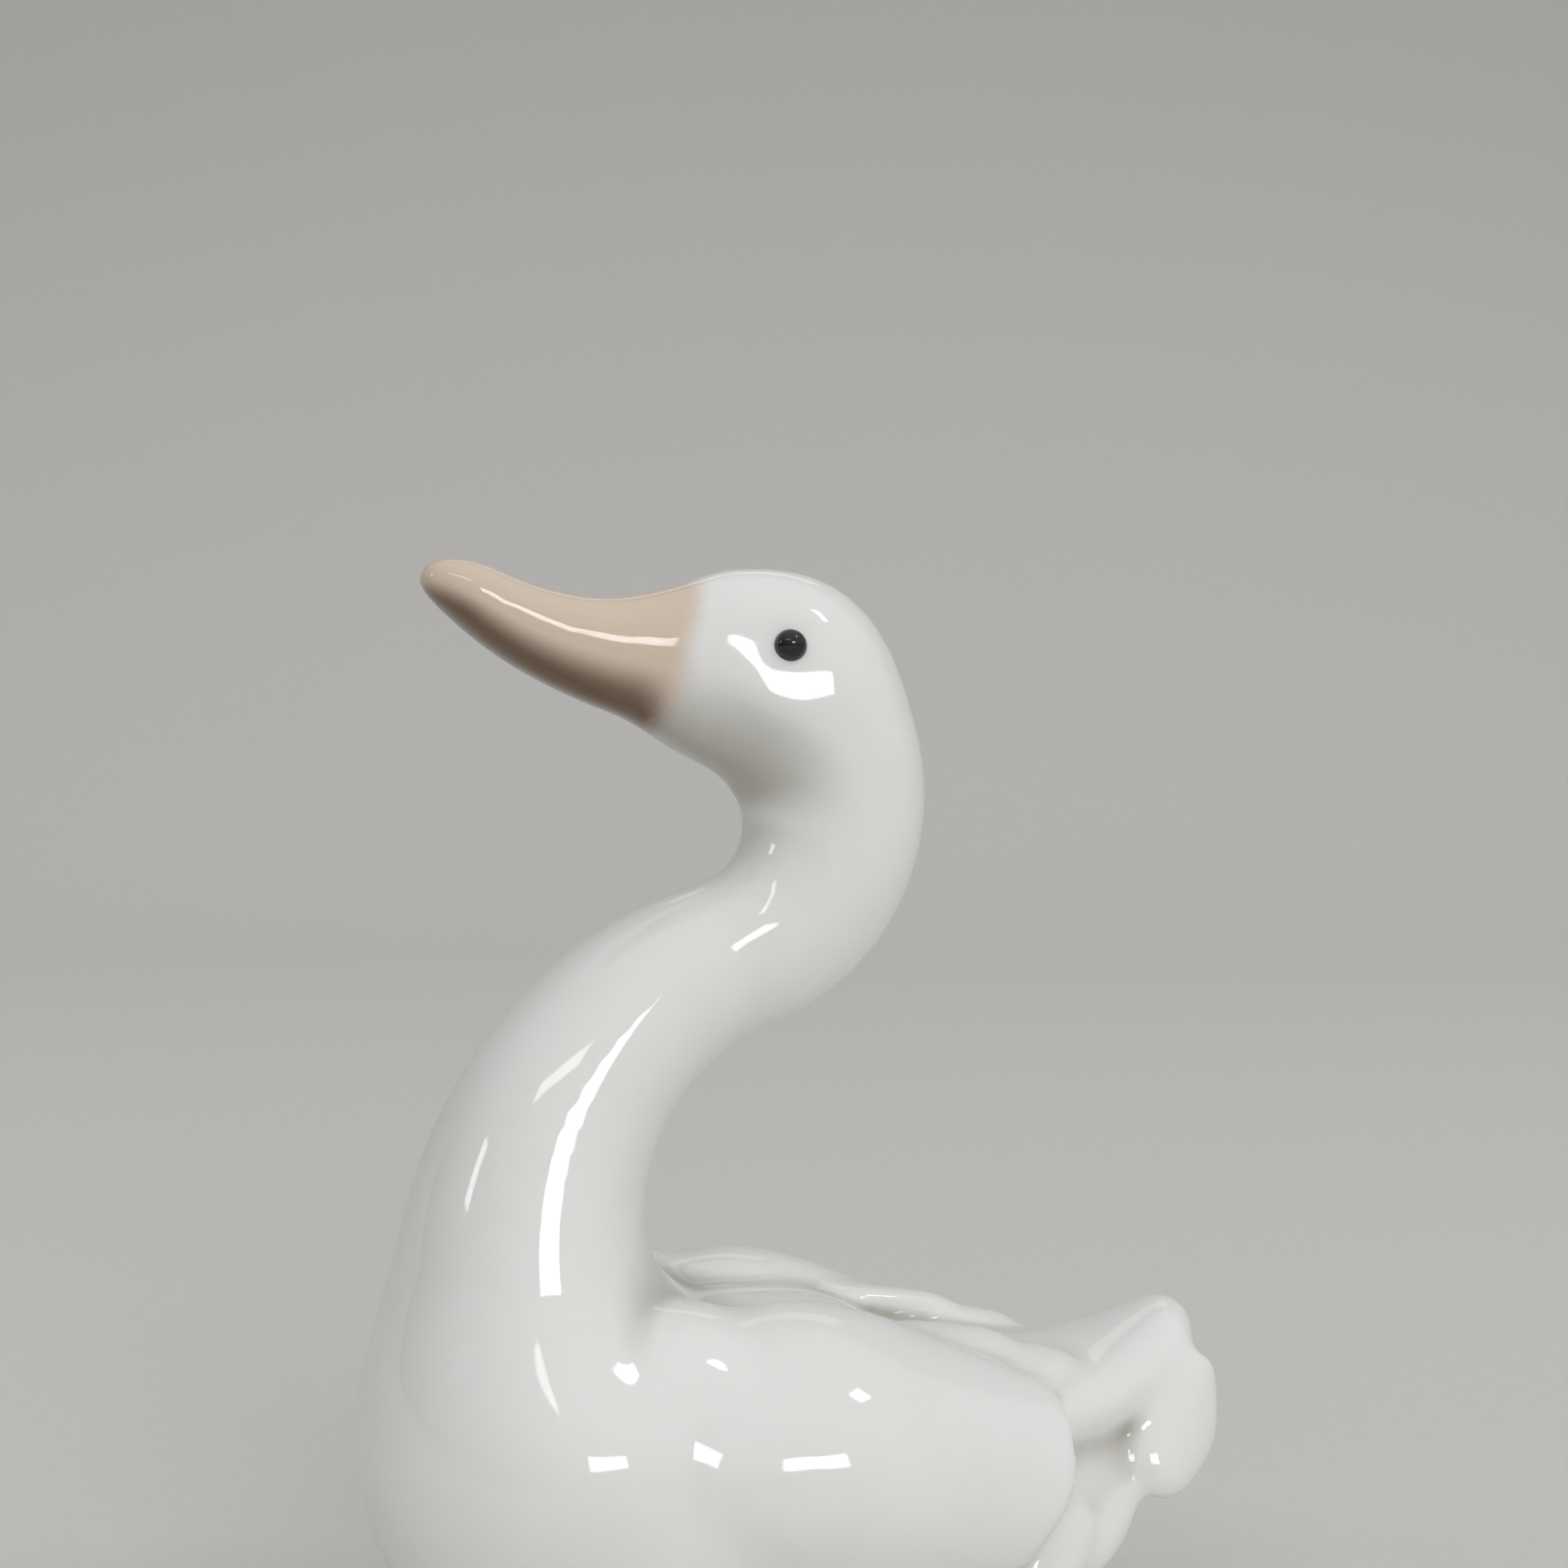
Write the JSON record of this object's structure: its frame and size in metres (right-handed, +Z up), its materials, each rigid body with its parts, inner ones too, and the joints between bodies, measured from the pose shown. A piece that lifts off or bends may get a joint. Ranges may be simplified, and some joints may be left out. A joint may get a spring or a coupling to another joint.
{
  "type": "duck figurine",
  "caption": "Slip-cast porcelain duck figurine with a long S-curved neck, raised bill, folded wings and ruffled tail on a flat foot.",
  "frame": {"origin": "on the ground under the duck, on the flat foot's face", "axes": "+Z up; the duck faces -Y, its left side is +X"},
  "size_m": [0.0534, 0.0891, 0.1128],
  "materials": {
    "white_glazed_porcelain": "gloss"
  },
  "bodies": {
    "root": {"porcelain_duck": "white_glazed_porcelain"}
  },
  "joints": []
}
